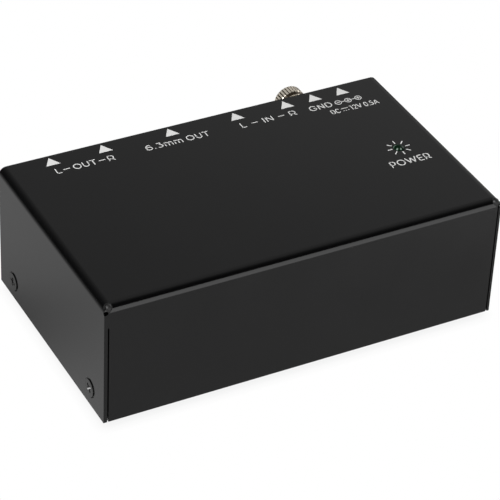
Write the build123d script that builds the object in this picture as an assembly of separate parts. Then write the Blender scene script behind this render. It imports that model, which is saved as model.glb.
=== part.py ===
from build123d import *
import math
import os

os.makedirs("parts", exist_ok=True)

# Every piece is drawn from the case's front left lower corner, in millimetres:
# x runs along the front, y from the front to the back, z up from the cover's lower edge.
# save() moves it so that the origin is the middle of the footprint, on the floor.

# Case: a folded steel cover over a folded steel tray
case_width = 135.0
case_depth = 78.6
case_height = 43.1
sheet = 1.3
cover_bend = 2.5
tray_bend = 1.8
cover_fit = 0.15
panel_inset = 0.8
lip_height = 12.0
corner_notch = 1.5
seam_gap = 0.45
left_strip = 1.2
right_strip = 0.8
left_seam_drop = 7.9
relief_radius = 0.7
relief_inset = 0.4
relief_drop = 2.35
dimple_radius = 0.3
dimple_inset = 0.5
dimple_drop = 0.75
ear_radius = 1.2
ear_x = 1.7
foot_height = 2.5
foot_radius = 4.8
foot_inset = 12.0

# Countersunk cover screws and their clinch nuts
screw_radius = 1.5
cover_head_radius = 2.95
cover_head_rim = 0.3
cover_sink_radius = 3.35
cover_sink = 0.4
cover_screw_length = 5.0
cover_screw_front_y = 10.0
cover_screw_rear_setback = 10.3
cover_screw_z = 6.3
nut_radius = 3.1
nut_height = 1.6
recess_span = 3.2
recess_slot = 0.9
recess_depth = 1.4
recess_turn = 40.0

# Circuit board on its pillars
pillar_height = 6.0
pillar_flats = 5.5
board_thickness = 1.6
board_side_gap = 7.5
board_front_gap = 5.0
board_rear_gap = 0.5
pillar_inset = 4.5
rear_pillar_setback = 22.5
board_screw_length = 5.0
board_head_radius = 2.75
board_head_height = 1.8
lead_radius = 0.3
lead_tail = 1.2

# Clearances and small edges
thread_clearance = 0.05
hole_clearance = 0.25
part_clearance = 0.1
moulded_edge = 0.8
turned_edge = 0.3
overrun = 1.0

# Line sockets: the left one of each pair is placed at a share of the case's width
output_socket_share = 0.1207
input_socket_share = 0.6
socket_pitch = 18.0
socket_height = 10.2
socket_reach = 8.8
shell_radius = 4.15
shell_wall = 0.7
shell_seat = 3.0
shell_collar_radius = 4.6
shell_collar = 0.8
socket_body_width = 10.4
socket_body_depth = 10.5
socket_body_rise = 5.4
insulator_recess = 0.4
insulator_mouth_radius = 1.95
insulator_lip = 1.5
contact_radius = 2.05
contact_bore_radius = 1.65
contact_depth = 6.5
tail_width = 1.2
tail_thickness = 0.5

# Quarter-inch output socket
phone_share = 0.4274
phone_height = 8.0
bushing_radius = 4.7
bushing_bore_radius = 3.25
bushing_relief_radius = 3.45
bushing_reach = 6.5
bushing_flange_radius = 6.0
bushing_flange = 1.5
thread_pitch = 0.8
thread_depth = 0.3
phone_nut_flats = 12.7
phone_nut_height = 2.4
phone_washer_radius = 7.2
tip_bow_share = 0.25
ring_bow_share = 0.55
bow_run_ratio = 1.5
phone_washer = 0.8
phone_body_width = 15.6
phone_body_depth = 24.0
phone_body_height = 15.0
chamber_width = 10.6
chamber_height = 9.0
phone_wall = 1.6
spring_thickness = 0.4
spring_width = 3.0
plug_radius = 3.2

# Power inlet
inlet_share = 0.8852
inlet_height = 6.6
inlet_body_width = 9.0
inlet_body_depth = 13.5
inlet_body_height = 11.0
inlet_nose_radius = 3.9
inlet_nose_proud = 0.2
inlet_bore_radius = 3.15
inlet_bore_depth = 9.5
inlet_pin_radius = 1.0
inlet_pin_root_radius = 1.3
inlet_pin_recess = 0.6
inlet_spring_setback = 2.5

# Ground terminal
ground_share = 0.8096
ground_from_top = 10.35
stud_radius = 2.0
stud_showing = 0.8
stud_head_flats = 7.0
stud_head_height = 2.8
lug_thickness = 0.5
lug_radius = 4.0
lug_tail_length = 5.0
lug_tail_width = 2.4
star_washer = 0.6
star_washer_radius = 4.0
star_teeth = 12
star_slot = 0.7
star_slot_depth = 0.8
lock_nut_flats = 7.0
lock_nut_height = 3.2
clamp_washer = 0.8
clamp_washer_radius = 4.5
clamp_washer_clearance = 0.15
thumb_neck_radius = 3.9
thumb_neck_length = 4.8
thumb_head_radius = 5.1
thumb_head_length = 5.0
thumb_chamfer = 0.5
thumb_bevel = 0.75
thumb_bevel_length = 1.5
knurl_count = 30
knurl_depth = 0.5
knurl_share = 0.6
wire_radius = 0.7
wire_bend = 2.0
wire_on_lug = 5.0
wire_board_setback = 9.0
wire_board_rise = 4.0

# Power light
light_share = 0.8904
light_depth_share = 0.4847
light_radius = 1.8
light_hole_radius = 2.0
light_proud = 0.8
light_length = 5.3
light_flange_radius = 2.2
light_flange = 1.0
light_lead_spread = 1.27
spacer_radius = 2.6

# Parts on the board: two like channels beside the amplifiers, and the supply on the right
input_amplifier_y = 32.0
output_amplifier_y = 18.0
amplifier_length = 9.6
amplifier_width = 6.4
amplifier_height = 3.3
leg_pitch = 2.54
leg_width = 1.2
leg_thickness = 0.3
channel_spread_share = 0.1926
bypass_row_y = 16.0
bypass_spread = 8.0
bypass_radius = 2.5
bypass_height = 9.0
film_row_y = 24.5
film_row_pitch = 5.5
film_spread = 8.0
film_width = 7.2
film_depth = 3.4
film_height = 7.4
resistor_row_y = 39.5
resistor_pitch = 4.5
resistor_count = 6
resistor_span = 10.0
resistor_length = 6.2
resistor_radius = 1.15
coupling_row_y = 50.0
coupling_spread = 4.5
coupling_radius = 3.15
coupling_height = 11.0
supply_share = 0.7852
choke_y = 16.0
choke_radius = 4.0
choke_height = 9.0
choke_flange = 1.2
reservoir_front_y = 29.0
reservoir_pitch = 12.5
reservoir_radius = 5.0
reservoir_height = 16.0
regulator_share = 0.7296
regulator_y = 52.0
regulator_width = 10.0
regulator_depth = 4.4
regulator_height = 9.2
regulator_stand = 3.5
tab_height = 6.3
tab_thickness = 1.3
tab_hole_radius = 1.8
diode_share = 0.837
diode_y = 53.0
diode_span = 11.0
diode_length = 5.0
diode_radius = 1.4

# Values that follow from the ones above
panel_face = case_depth - panel_inset
panel_back = panel_face - sheet
tray_side = sheet + cover_fit
output_socket_x = output_socket_share * case_width
input_socket_x = input_socket_share * case_width
phone_x = phone_share * case_width
inlet_x = inlet_share * case_width
ground_x = ground_share * case_width
ground_z = case_height - ground_from_top
light_x = light_share * case_width
light_y = light_depth_share * case_depth
cover_screw_rear_y = case_depth - cover_screw_rear_setback
board_bottom = sheet + pillar_height
board_top = board_bottom + board_thickness
socket_z = board_top + socket_height
phone_z = board_top + phone_height
inlet_z = board_top + inlet_height
lock_nut_y = panel_face + star_washer
clamp_washer_y = lock_nut_y + lock_nut_height
thumb_nut_y = clamp_washer_y + clamp_washer
stud_end_y = thumb_nut_y + thumb_neck_length + thumb_head_length + stud_showing
footprint_depth = max(stud_end_y, panel_face + socket_reach)

CORNER = (Align.MIN, Align.MIN, Align.MIN)
STANDING = (Align.CENTER, Align.CENTER, Align.MIN)
MIDDLE = (Align.CENTER, Align.CENTER, Align.CENTER)
to_back = Rot(-90, 0, 0)
to_right = Rot(0, 90, 0)


def save(name, *solids):
    """Move a piece, or a group of like pieces, into the object's own frame and write it."""
    shape = solids[0] if len(solids) == 1 else Compound(list(solids))
    export_step(Pos(-case_width / 2, -footprint_depth / 2, foot_height) * shape, f"parts/{name}.step")


def block(x0, x1, y0, y1, z0, z1):
    return Pos(x0, y0, z0) * Box(x1 - x0, y1 - y0, z1 - z0, align=CORNER)


def upright(radius, x, y, z0, z1):
    """Round bar along z."""
    return Pos(x, y, z0) * Cylinder(radius, z1 - z0, align=STANDING)


def rearward(radius, x, z, y0, y1):
    """Round bar along y."""
    return Pos(x, y0, z) * to_back * Cylinder(radius, y1 - y0, align=STANDING)


def hexagon_rearward(flats, x, z, y0, y1):
    """Six-sided bar along y, lightly rounded over its corners as a turned nut is."""
    height = y1 - y0
    bar = extrude(RegularPolygon(flats / 2, 6, major_radius=False), height)
    corner = flats / 2 / math.cos(math.pi / 6)
    turned = Cylinder(corner, height, align=STANDING)
    turned = chamfer(turned.edges().filter_by(GeomType.CIRCLE), 0.06 * flats, 0.13 * flats)
    return Pos(x, y0, z) * to_back * (bar & turned)


drillings = []


def lead(x, y, top, radius=lead_radius):
    """A component's wire, from below the board up to a height; it claims its hole in the board."""
    drillings.append((x, y, radius + part_clearance))
    return upright(radius, x, y, board_bottom - lead_tail, top)


def tail(x, y, top):
    """A stamped contact's tail, down the middle of a socket; it claims its hole in the board."""
    half_diagonal = math.hypot(tail_width, tail_thickness) / 2
    drillings.append((x, y, half_diagonal + part_clearance))
    half_width = tail_width / 2
    half_thickness = tail_thickness / 2
    bottom = board_bottom - lead_tail
    return block(x - half_width, x + half_width, y - half_thickness, y + half_thickness, bottom, top)


def tail_slot(x, y, top):
    """Slot in a housing's floor that a stamped tail stands in."""
    half_width = tail_width / 2 + part_clearance
    half_thickness = tail_thickness / 2 + part_clearance
    return block(x - half_width, x + half_width, y - half_thickness, y + half_thickness, board_top, top)


def phillips_recess():
    """Cross-shaped socket cut down into a head whose top is at z = 0."""
    slot = Box(recess_span, recess_slot, 2 * recess_depth, align=MIDDLE)
    cross = slot + Rot(0, 0, 90) * slot
    taper = Pos(0, 0, -recess_depth) * Cone(recess_slot / 2, recess_span / 2, recess_depth, align=STANDING)
    return cross & taper


# Cover -------------------------------------------------------------------------------------------

def cover_form(inset, spare):
    """The cover's outside moved inwards: a block rounded over the sides, crossed with one rounded
    over the front, so that the two bends meet in a mitre at each front corner."""
    solid = block(inset, case_width - inset, inset, case_depth + spare, -spare, case_height - inset)
    top = solid.edges().group_by(Axis.Z)[-1]
    over_sides = fillet(top.filter_by(Axis.Y), cover_bend - inset)
    over_front = fillet(top.filter_by(Axis.X).sort_by(Axis.Y)[0], cover_bend - inset)
    return over_sides & over_front


def countersunk(radius_gain, x, direction):
    """Head and shank of a cover screw standing in from a side face; gain widens it for its hole."""
    depth = cover_head_radius - screw_radius
    head_radius = cover_head_radius + radius_gain
    shank_radius = screw_radius + radius_gain
    head = Cone(head_radius, shank_radius, depth, align=STANDING)
    rim = Pos(0, 0, -cover_head_rim) * Cylinder(head_radius, cover_head_rim, align=STANDING)
    shank = Cylinder(shank_radius, cover_screw_length, align=STANDING)
    return Pos(x, 0, 0) * Rot(0, 90 * direction, 0) * (head + rim + shank)


def cover_screw_places():
    """Side face position, inward direction and y of each cover screw."""
    for x, direction in ((0, 1), (case_width, -1)):
        for y in (cover_screw_front_y, cover_screw_rear_y):
            yield x, direction, y


def corner_seam(strip, seam_top):
    """Left front corner: the open seam beside the side flange's edge, the round relief drilled at
    the fold along the mitre, and the small dimple that the folding tool leaves above it."""
    seam = block(strip, strip + seam_gap, -overrun, sheet + overrun, -overrun, seam_top)
    along_mitre = Rot(0, 0, 45) * to_right
    relief = along_mitre * Cylinder(relief_radius, 4 * sheet, align=MIDDLE)
    dimple = along_mitre * Cylinder(dimple_radius, sheet, align=MIDDLE)
    seam += Pos(relief_inset, 0, case_height - relief_drop) * relief
    return seam + Pos(dimple_inset, dimple_inset, case_height - dimple_drop) * dimple


def make_cover():
    """Top, front and both sides folded from one sheet, with the metal pressed out to a small ear
    at each front corner; the back and the bottom are open."""
    right_seam = Plane.YZ.offset(case_width / 2)
    ear = Pos(ear_x, ear_radius, case_height - ear_radius) * Sphere(ear_radius)
    ear += upright(ear_radius, ear_x, ear_radius, case_height - relief_drop, case_height - ear_radius)
    cover = cover_form(0, 0) + ear + mirror(ear, right_seam) - cover_form(sheet, overrun)
    cover -= corner_seam(left_strip, case_height - left_seam_drop)
    cover -= mirror(corner_seam(right_strip, case_height - relief_drop), right_seam)
    for x, direction, y in cover_screw_places():
        cover -= Pos(0, y, cover_screw_z) * countersunk(thread_clearance, x, direction)
        sink = Cone(cover_sink_radius + cover_sink, cover_sink_radius - cover_sink, 2 * cover_sink)
        cover -= Pos(x, y, cover_screw_z) * Rot(0, 90 * direction, 0) * sink
    light_hole = upright(light_hole_radius, light_x, light_y, case_height - 2 * sheet, case_height + overrun)
    return cover - light_hole


save("top_cover", make_cover())

cover_screws = []
clinch_nuts = []
for number, (x, direction, y) in enumerate(cover_screw_places(), 1):
    screw = countersunk(0, x, direction)
    recess = Rot(0, -90 * direction, 0) * Rot(0, 0, number * recess_turn) * phillips_recess()
    screw -= Pos(x - direction * cover_head_rim, 0, 0) * recess
    cover_screws.append(Pos(0, y, cover_screw_z) * screw)
    seat = x + direction * (tray_side + sheet)
    nut = Cylinder(nut_radius, nut_height, align=STANDING)
    nut -= Cylinder(screw_radius + thread_clearance, nut_height, align=STANDING)
    clinch_nuts.append(Pos(seat, y, cover_screw_z) * Rot(0, 90 * direction, 0) * nut)
save("cover_screws", *cover_screws)
save("clinch_nuts", *clinch_nuts)


# Tray --------------------------------------------------------------------------------------------

def tray_form(inset):
    """The tray's outside moved inwards: two blocks rounded along the bottom, crossed."""
    side = tray_side + inset
    solid = block(side, case_width - side, side, panel_face - inset, inset, case_height + inset)
    bottom = solid.edges().group_by(Axis.Z)[0]
    over_sides = fillet(bottom.filter_by(Axis.Y), tray_bend - inset)
    over_ends = fillet(bottom.filter_by(Axis.X), tray_bend - inset)
    return over_sides & over_ends


def make_tray():
    """Bottom with low lips at the front and sides, and the tall rear panel with its holes."""
    tray = (tray_form(0) - tray_form(sheet)) & cover_form(tray_side, overrun)
    tray -= block(0, case_width, 0, panel_back, lip_height, case_height)
    lip = tray_side + sheet
    for x0, x1 in ((0, lip), (case_width - lip, case_width)):
        tray -= block(x0, x1, 0, lip + corner_notch, tray_bend, case_height)
        tray -= block(x0, x1, panel_back - corner_notch, panel_back, tray_bend, case_height)
    for x, direction, y in cover_screw_places():
        hole = Cylinder(screw_radius + hole_clearance, 2 * lip, align=STANDING)
        tray -= Pos(x, y, cover_screw_z) * Rot(0, 90 * direction, 0) * hole
    for radius, x, z in panel_holes():
        tray -= rearward(radius + hole_clearance, x, z, panel_back - overrun, panel_face + overrun)
    return tray


def panel_holes():
    """Radius, x and z of what stands through the rear panel."""
    for x in (output_socket_x, input_socket_x):
        yield shell_collar_radius, x, socket_z
        yield shell_collar_radius, x + socket_pitch, socket_z
    yield bushing_radius, phone_x, phone_z
    yield inlet_nose_radius, inlet_x, inlet_z
    yield stud_radius, ground_x, ground_z


save("base_tray", make_tray())

feet = []
for x in (foot_inset, case_width - foot_inset):
    for y in (foot_inset, case_depth - foot_inset):
        foot = Pos(x, y, -foot_height) * Cylinder(foot_radius, foot_height, align=STANDING)
        rim = foot.edges().filter_by(GeomType.CIRCLE).sort_by(Axis.Z)[0]
        feet.append(fillet(rim, 0.3 * foot_height))
save("rubber_feet", *feet)


# Board, pillars and board screws -----------------------------------------------------------------

def pillar_places():
    for x in (board_side_gap + pillar_inset, case_width - board_side_gap - pillar_inset):
        for y in (board_front_gap + pillar_inset, panel_back - rear_pillar_setback):
            yield x, y


pillars = []
board_screws = []
for x, y in pillar_places():
    pillar = extrude(RegularPolygon(pillar_flats / 2, 6, major_radius=False), pillar_height)
    pillar -= Cylinder(screw_radius + thread_clearance, pillar_height, align=STANDING)
    pillars.append(Pos(x, y, sheet) * pillar)
    head = Cylinder(board_head_radius, board_head_height, align=STANDING)
    head = fillet(head.edges().filter_by(GeomType.CIRCLE).sort_by(Axis.Z)[-1], 0.5 * board_head_height)
    head -= Pos(0, 0, board_head_height) * phillips_recess()
    shank = Pos(0, 0, -board_screw_length) * Cylinder(screw_radius, board_screw_length, align=STANDING)
    board_screws.append(Pos(x, y, board_top) * (head + shank))
save("board_pillars", *pillars)
save("board_screws", *board_screws)


# Line sockets ------------------------------------------------------------------------------------

def make_socket(x, name):
    """Moulded housing on the board, metal shell through the panel, coloured insulator and contact."""
    mouth = panel_face + socket_reach
    front = panel_back - part_clearance
    back = front - socket_body_depth
    seat = front - shell_seat
    half = socket_body_width / 2
    housing = block(x - half, x + half, back, front, board_top, socket_z + socket_body_rise)
    housing = fillet(housing.edges().filter_by(Axis.Y).group_by(Axis.Z)[-1], moulded_edge)
    housing -= rearward(shell_collar_radius + thread_clearance, x, socket_z, seat, front)
    housing -= tail_slot(x, seat + tail_thickness / 2, socket_z)
    housing -= rearward(contact_radius + thread_clearance, x, socket_z, back, front)
    save(f"{name}_housing", housing)

    shell = rearward(shell_radius, x, socket_z, seat, mouth)
    shell = chamfer(shell.edges().filter_by(GeomType.CIRCLE).sort_by(Axis.Y)[-1], turned_edge)
    shell += rearward(shell_collar_radius, x, socket_z, seat, panel_face + shell_collar)
    shell += tail(x, seat + tail_thickness / 2, socket_z)
    core_radius = shell_radius - shell_wall
    shell -= rearward(core_radius, x, socket_z, seat, mouth)
    save(f"{name}_shell", shell)

    lip = mouth - insulator_recess
    insulator = rearward(core_radius - thread_clearance, x, socket_z, seat, lip)
    insulator = chamfer(insulator.edges().filter_by(GeomType.CIRCLE).sort_by(Axis.Y)[-1], turned_edge)
    insulator -= rearward(insulator_mouth_radius, x, socket_z, lip - insulator_lip, lip)
    insulator -= rearward(contact_radius + thread_clearance, x, socket_z, seat, lip - insulator_lip)
    save(f"{name}_insulator", insulator)

    contact_mouth = lip - insulator_lip - part_clearance
    contact = rearward(contact_radius, x, socket_z, back - tail_thickness, contact_mouth)
    contact -= rearward(contact_bore_radius, x, socket_z, contact_mouth - contact_depth, contact_mouth)
    contact += tail(x, back - tail_thickness / 2 - part_clearance, socket_z)
    save(f"{name}_contact", contact)


make_socket(output_socket_x, "left_output")
make_socket(output_socket_x + socket_pitch, "right_output")
make_socket(input_socket_x, "left_input")
make_socket(input_socket_x + socket_pitch, "right_input")


# Quarter-inch output socket ----------------------------------------------------------------------

def make_phone_bushing():
    """Threaded metal bushing with an inner flange that the panel nut pulls against."""
    mouth = panel_face + bushing_reach
    bushing = rearward(bushing_radius, phone_x, phone_z, panel_back, mouth)
    bushing = chamfer(bushing.edges().filter_by(GeomType.CIRCLE).sort_by(Axis.Y)[-1], turned_edge)
    groove_count = int((bushing_reach - phone_washer - phone_nut_height) / thread_pitch)
    for turn in range(groove_count):
        y = mouth - (turn + 1) * thread_pitch
        groove = rearward(bushing_radius + overrun, phone_x, phone_z, y, y + thread_pitch / 2)
        groove -= rearward(bushing_radius - thread_depth, phone_x, phone_z, y, y + thread_pitch / 2)
        bushing -= groove
    bushing += rearward(bushing_flange_radius, phone_x, phone_z, phone_front, panel_back)
    bushing += tail(phone_x, phone_front, phone_z)
    bushing -= rearward(bushing_bore_radius, phone_x, phone_z, phone_front, mouth)
    relief_end = panel_face + part_clearance
    return bushing - rearward(bushing_relief_radius, phone_x, phone_z, phone_front - sheet, relief_end)


def make_phone_spring(side, bow_share):
    """Flat spring beside the plug's path, bowed towards it, with its tail through the floor."""
    wall_x = phone_x + side * (chamber_width / 2 - part_clearance)
    inner_x = wall_x - side * spring_thickness
    touch_x = phone_x + side * (plug_radius + part_clearance)
    bow_y = spring_root_y + bow_share * phone_body_depth
    end_y = bow_y + bow_run_ratio * abs(wall_x - touch_x)
    outline = Polyline(
        (wall_x, spring_root_y),
        (touch_x + side * spring_thickness, bow_y),
        (wall_x, end_y),
        (inner_x, end_y),
        (touch_x, bow_y),
        (inner_x, spring_root_y),
        close=True,
    )
    top = phone_z + spring_width / 2
    strip = Pos(0, 0, top - spring_width) * extrude(make_face(outline), spring_width)
    half_diagonal = math.hypot(tail_width, spring_thickness) / 2
    middle_x = (wall_x + inner_x) / 2
    drillings.append((middle_x, spring_root_y - tail_width / 2, half_diagonal + part_clearance))
    low_x = min(wall_x, inner_x)
    high_x = max(wall_x, inner_x)
    bottom = board_bottom - lead_tail
    return strip + block(low_x, high_x, spring_root_y - tail_width, spring_root_y, bottom, top)


def make_phone_housing():
    """Moulded box behind the panel with a chamber for the plug and slots for the tails."""
    half_width = phone_body_width / 2
    top = board_top + phone_body_height
    housing = block(phone_x - half_width, phone_x + half_width, phone_rear, phone_front, board_top, top)
    housing = fillet(housing.edges().filter_by(Axis.Y).group_by(Axis.Z)[-1], moulded_edge)
    half_chamber = chamber_width / 2
    housing -= block(
        phone_x - half_chamber, phone_x + half_chamber,
        phone_rear + phone_wall, phone_front - phone_wall,
        phone_z - chamber_height / 2, phone_z + chamber_height / 2,
    )
    housing -= rearward(bushing_relief_radius, phone_x, phone_z, phone_front - phone_wall, phone_front)
    housing -= tail_slot(phone_x, phone_front, phone_z)
    slot_width = spring_thickness + 2 * part_clearance
    slot_y = spring_root_y - tail_width - part_clearance
    slot_end = spring_root_y + part_clearance
    for x in (phone_x - half_chamber, phone_x + half_chamber - slot_width):
        housing -= block(x, x + slot_width, slot_y, slot_end, board_top, phone_z)
    return housing


phone_front = panel_back - bushing_flange
phone_rear = phone_front - phone_body_depth
spring_root_y = phone_rear + phone_wall + part_clearance + tail_width
save("phone_bushing", make_phone_bushing())
save("phone_tip_spring", make_phone_spring(1, tip_bow_share))
save("phone_ring_spring", make_phone_spring(-1, ring_bow_share))
save("phone_housing", make_phone_housing())

phone_nut_y = panel_face + phone_washer
phone_washer_ring = rearward(phone_washer_radius, phone_x, phone_z, panel_face, phone_nut_y)
phone_washer_ring -= rearward(bushing_radius + part_clearance, phone_x, phone_z, panel_face, phone_nut_y)
save("phone_washer", phone_washer_ring)
phone_nut_end = phone_nut_y + phone_nut_height
phone_nut = hexagon_rearward(phone_nut_flats, phone_x, phone_z, phone_nut_y, phone_nut_end)
phone_nut -= rearward(bushing_radius + thread_clearance, phone_x, phone_z, phone_nut_y, phone_nut_end)
save("phone_nut", phone_nut)


# Power inlet -------------------------------------------------------------------------------------

def make_inlet_housing():
    """Moulded box on the board whose round nose fills the panel's hole and holds the plug's bore."""
    half_width = inlet_body_width / 2
    top = board_top + inlet_body_height
    housing = block(inlet_x - half_width, inlet_x + half_width, inlet_back, inlet_front, board_top, top)
    housing = fillet(housing.edges().filter_by(Axis.Y).group_by(Axis.Z)[-1], moulded_edge)
    housing += rearward(inlet_nose_radius, inlet_x, inlet_z, inlet_front, inlet_mouth)
    housing -= rearward(inlet_bore_radius, inlet_x, inlet_z, bore_floor, inlet_mouth)
    housing -= rearward(inlet_pin_root_radius + part_clearance, inlet_x, inlet_z, inlet_back, bore_floor)
    return housing - tail_slot(inlet_x, inlet_spring_y, inlet_z)


def make_inlet_pin():
    """Round pin in the middle of the bore, on a stamped tail behind the housing."""
    pin = rearward(inlet_pin_radius, inlet_x, inlet_z, inlet_back - tail_thickness, inlet_pin_end)
    pin = fillet(pin.edges().filter_by(GeomType.CIRCLE).sort_by(Axis.Y)[-1], 0.6 * inlet_pin_radius)
    pin += rearward(inlet_pin_root_radius, inlet_x, inlet_z, inlet_back - tail_thickness, bore_floor)
    return pin + tail(inlet_x, inlet_back - tail_thickness / 2 - part_clearance, inlet_z)


def make_inlet_spring():
    """Flat contact along the floor of the bore, that the plug's sleeve slides over."""
    low = inlet_z - inlet_bore_radius + part_clearance
    top = low + spring_thickness
    leaf = block(inlet_x - tail_width / 2, inlet_x + tail_width / 2, inlet_spring_y, inlet_pin_end, low, top)
    return leaf + tail(inlet_x, inlet_spring_y, top)


inlet_front = panel_back - part_clearance
inlet_mouth = panel_face + inlet_nose_proud
inlet_back = inlet_front - inlet_body_depth
bore_floor = inlet_mouth - inlet_bore_depth
inlet_pin_end = inlet_mouth - inlet_pin_recess
inlet_spring_y = bore_floor + inlet_spring_setback
save("inlet_housing", make_inlet_housing())
save("inlet_pin", make_inlet_pin())
save("inlet_spring", make_inlet_spring())


# Ground terminal ---------------------------------------------------------------------------------

lug_y = panel_back - lug_thickness
stud_head_y = lug_y - stud_head_height
stud = rearward(stud_radius, ground_x, ground_z, lug_y, stud_end_y)
stud = chamfer(stud.edges().filter_by(GeomType.CIRCLE).sort_by(Axis.Y)[-1], turned_edge)
stud += hexagon_rearward(stud_head_flats, ground_x, ground_z, stud_head_y, lug_y)
save("ground_stud", stud)

lug = rearward(lug_radius, ground_x, ground_z, lug_y, panel_back)
lug_end = ground_z - lug_radius - lug_tail_length
lug_half = lug_tail_width / 2
lug += block(ground_x - lug_half, ground_x + lug_half, lug_y, panel_back, lug_end, ground_z)
lug -= rearward(stud_radius + part_clearance, ground_x, ground_z, lug_y, panel_back)
save("ground_lug", lug)

ring = Circle(star_washer_radius) - Circle(stud_radius + part_clearance)
tooth_slot = Pos(star_washer_radius, 0) * Rectangle(2 * star_slot_depth, star_slot)
for place in PolarLocations(0, star_teeth):
    ring -= place * tooth_slot
star = Pos(ground_x, panel_face, ground_z) * to_back * extrude(ring, star_washer)
save("ground_star_washer", star)

lock_nut = hexagon_rearward(lock_nut_flats, ground_x, ground_z, lock_nut_y, clamp_washer_y)
lock_nut -= rearward(stud_radius + thread_clearance, ground_x, ground_z, lock_nut_y, clamp_washer_y)
save("ground_lock_nut", lock_nut)

washer = rearward(clamp_washer_radius, ground_x, ground_z, clamp_washer_y, thumb_nut_y)
washer -= rearward(stud_radius + clamp_washer_clearance, ground_x, ground_z, clamp_washer_y, thumb_nut_y)
save("ground_clamp_washer", washer)


def make_thumb_nut():
    """Turned nut: a plain neck towards the panel, then a straight-knurled head with bevelled rims,
    the longer bevel on the neck's side."""
    length = thumb_neck_length + thumb_head_length
    shoulder = thumb_neck_length
    half_profile = Polyline(
        (0, 0),
        (thumb_neck_radius - turned_edge, 0),
        (thumb_neck_radius, turned_edge),
        (thumb_neck_radius, shoulder),
        (thumb_head_radius - thumb_bevel, shoulder),
        (thumb_head_radius, shoulder + thumb_bevel_length),
        (thumb_head_radius, length - thumb_chamfer),
        (thumb_head_radius - thumb_chamfer, length),
        (0, length),
        close=True,
    )
    turned = revolve(Plane.XZ * make_face(half_profile), Axis.Z)
    knurl = Circle(thumb_head_radius + part_clearance)
    half_groove = knurl_share * math.pi * thumb_head_radius / knurl_count
    groove = make_face(Polyline(
        (thumb_head_radius - knurl_depth, 0),
        (thumb_head_radius + 2 * part_clearance, -half_groove),
        (thumb_head_radius + 2 * part_clearance, half_groove),
        close=True,
    ))
    for place in PolarLocations(0, knurl_count):
        knurl -= place * groove
    nut = turned & extrude(knurl, length)
    nut -= Cylinder(stud_radius + thread_clearance, length, align=STANDING)
    return Pos(ground_x, thumb_nut_y, ground_z) * to_back * nut


save("ground_thumb_nut", make_thumb_nut())

wire_y = lug_y - wire_radius
wire_board_y = panel_back - wire_board_setback
wire_top = lug_end + wire_on_lug / 2
drillings.append((ground_x, wire_board_y, wire_radius + part_clearance))
wire_route = FilletPolyline(
    (ground_x, wire_y, wire_top),
    (ground_x, wire_y, wire_top - wire_on_lug),
    (ground_x, wire_board_y, board_top + wire_board_rise),
    (ground_x, wire_board_y, board_bottom - lead_tail),
    radius=wire_bend,
)
wire_section = Plane(origin=wire_route @ 0, z_dir=wire_route % 0) * Circle(wire_radius)
save("ground_wire", sweep(wire_section, path=wire_route))


# Power light -------------------------------------------------------------------------------------

light_top = case_height + light_proud
light_base = light_top - light_length
dome_radius = (light_radius**2 + light_proud**2) / (2 * light_proud)
light = upright(light_radius, light_x, light_y, light_base, light_top)
light &= Pos(light_x, light_y, light_top - dome_radius) * Sphere(dome_radius) + upright(
    light_radius, light_x, light_y, light_base, case_height
)
light += upright(light_flange_radius, light_x, light_y, light_base, light_base + light_flange)
save("power_light", light)

light_leads = []
spacer = upright(spacer_radius, light_x, light_y, board_top, light_base)
for side in (-1, 1):
    lead_x = light_x + side * light_lead_spread
    light_leads.append(lead(lead_x, light_y, light_base))
    spacer -= upright(lead_radius + part_clearance, lead_x, light_y, board_top, light_base)
save("power_light_leads", *light_leads)
save("power_light_spacer", spacer)


# Parts on the board ------------------------------------------------------------------------------

part_foot = board_top + part_clearance
lead_grip = 0.5


def make_can_capacitor(x, y, radius, height):
    """Electrolytic capacitor: aluminium can with a rolled groove near its foot and two leads."""
    can = upright(radius, x, y, part_foot, part_foot + height)
    can = fillet(can.edges().filter_by(GeomType.CIRCLE), 0.12 * radius)
    groove_z = part_foot + 0.18 * height
    groove_top = groove_z + 0.06 * height
    groove = upright(radius + overrun, x, y, groove_z, groove_top)
    can -= groove - upright(0.93 * radius, x, y, groove_z, groove_top)
    for side in (-1, 1):
        can += lead(x + side * 0.4 * radius, y, part_foot + lead_grip)
    return can


def make_film_capacitor(x, y):
    """Boxed film capacitor on two leads."""
    half_width = film_width / 2
    half_depth = film_depth / 2
    top = part_foot + film_height
    body = block(x - half_width, x + half_width, y - half_depth, y + half_depth, part_foot, top)
    body = fillet(body.edges().filter_by(Axis.Z), 0.12 * film_depth)
    for side in (-1, 1):
        body += lead(x + side * 0.7 * half_width, y, part_foot + lead_grip)
    return body


def make_axial(x, y, span, length, radius):
    """Resistor or diode lying along y: a dumb-bell body and two wires bent down into the board."""
    axis_z = part_foot + radius
    cap = 0.25 * length
    body = rearward(0.85 * radius, x, axis_z, y - length / 2, y + length / 2)
    body += rearward(radius, x, axis_z, y - length / 2, y - length / 2 + cap)
    body += rearward(radius, x, axis_z, y + length / 2 - cap, y + length / 2)
    body += rearward(lead_radius, x, axis_z, y - span / 2, y + span / 2)
    for end_y in (y - span / 2, y + span / 2):
        body += Pos(x, end_y, axis_z) * Sphere(lead_radius)
        body += lead(x, end_y, axis_z)
    return body


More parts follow.
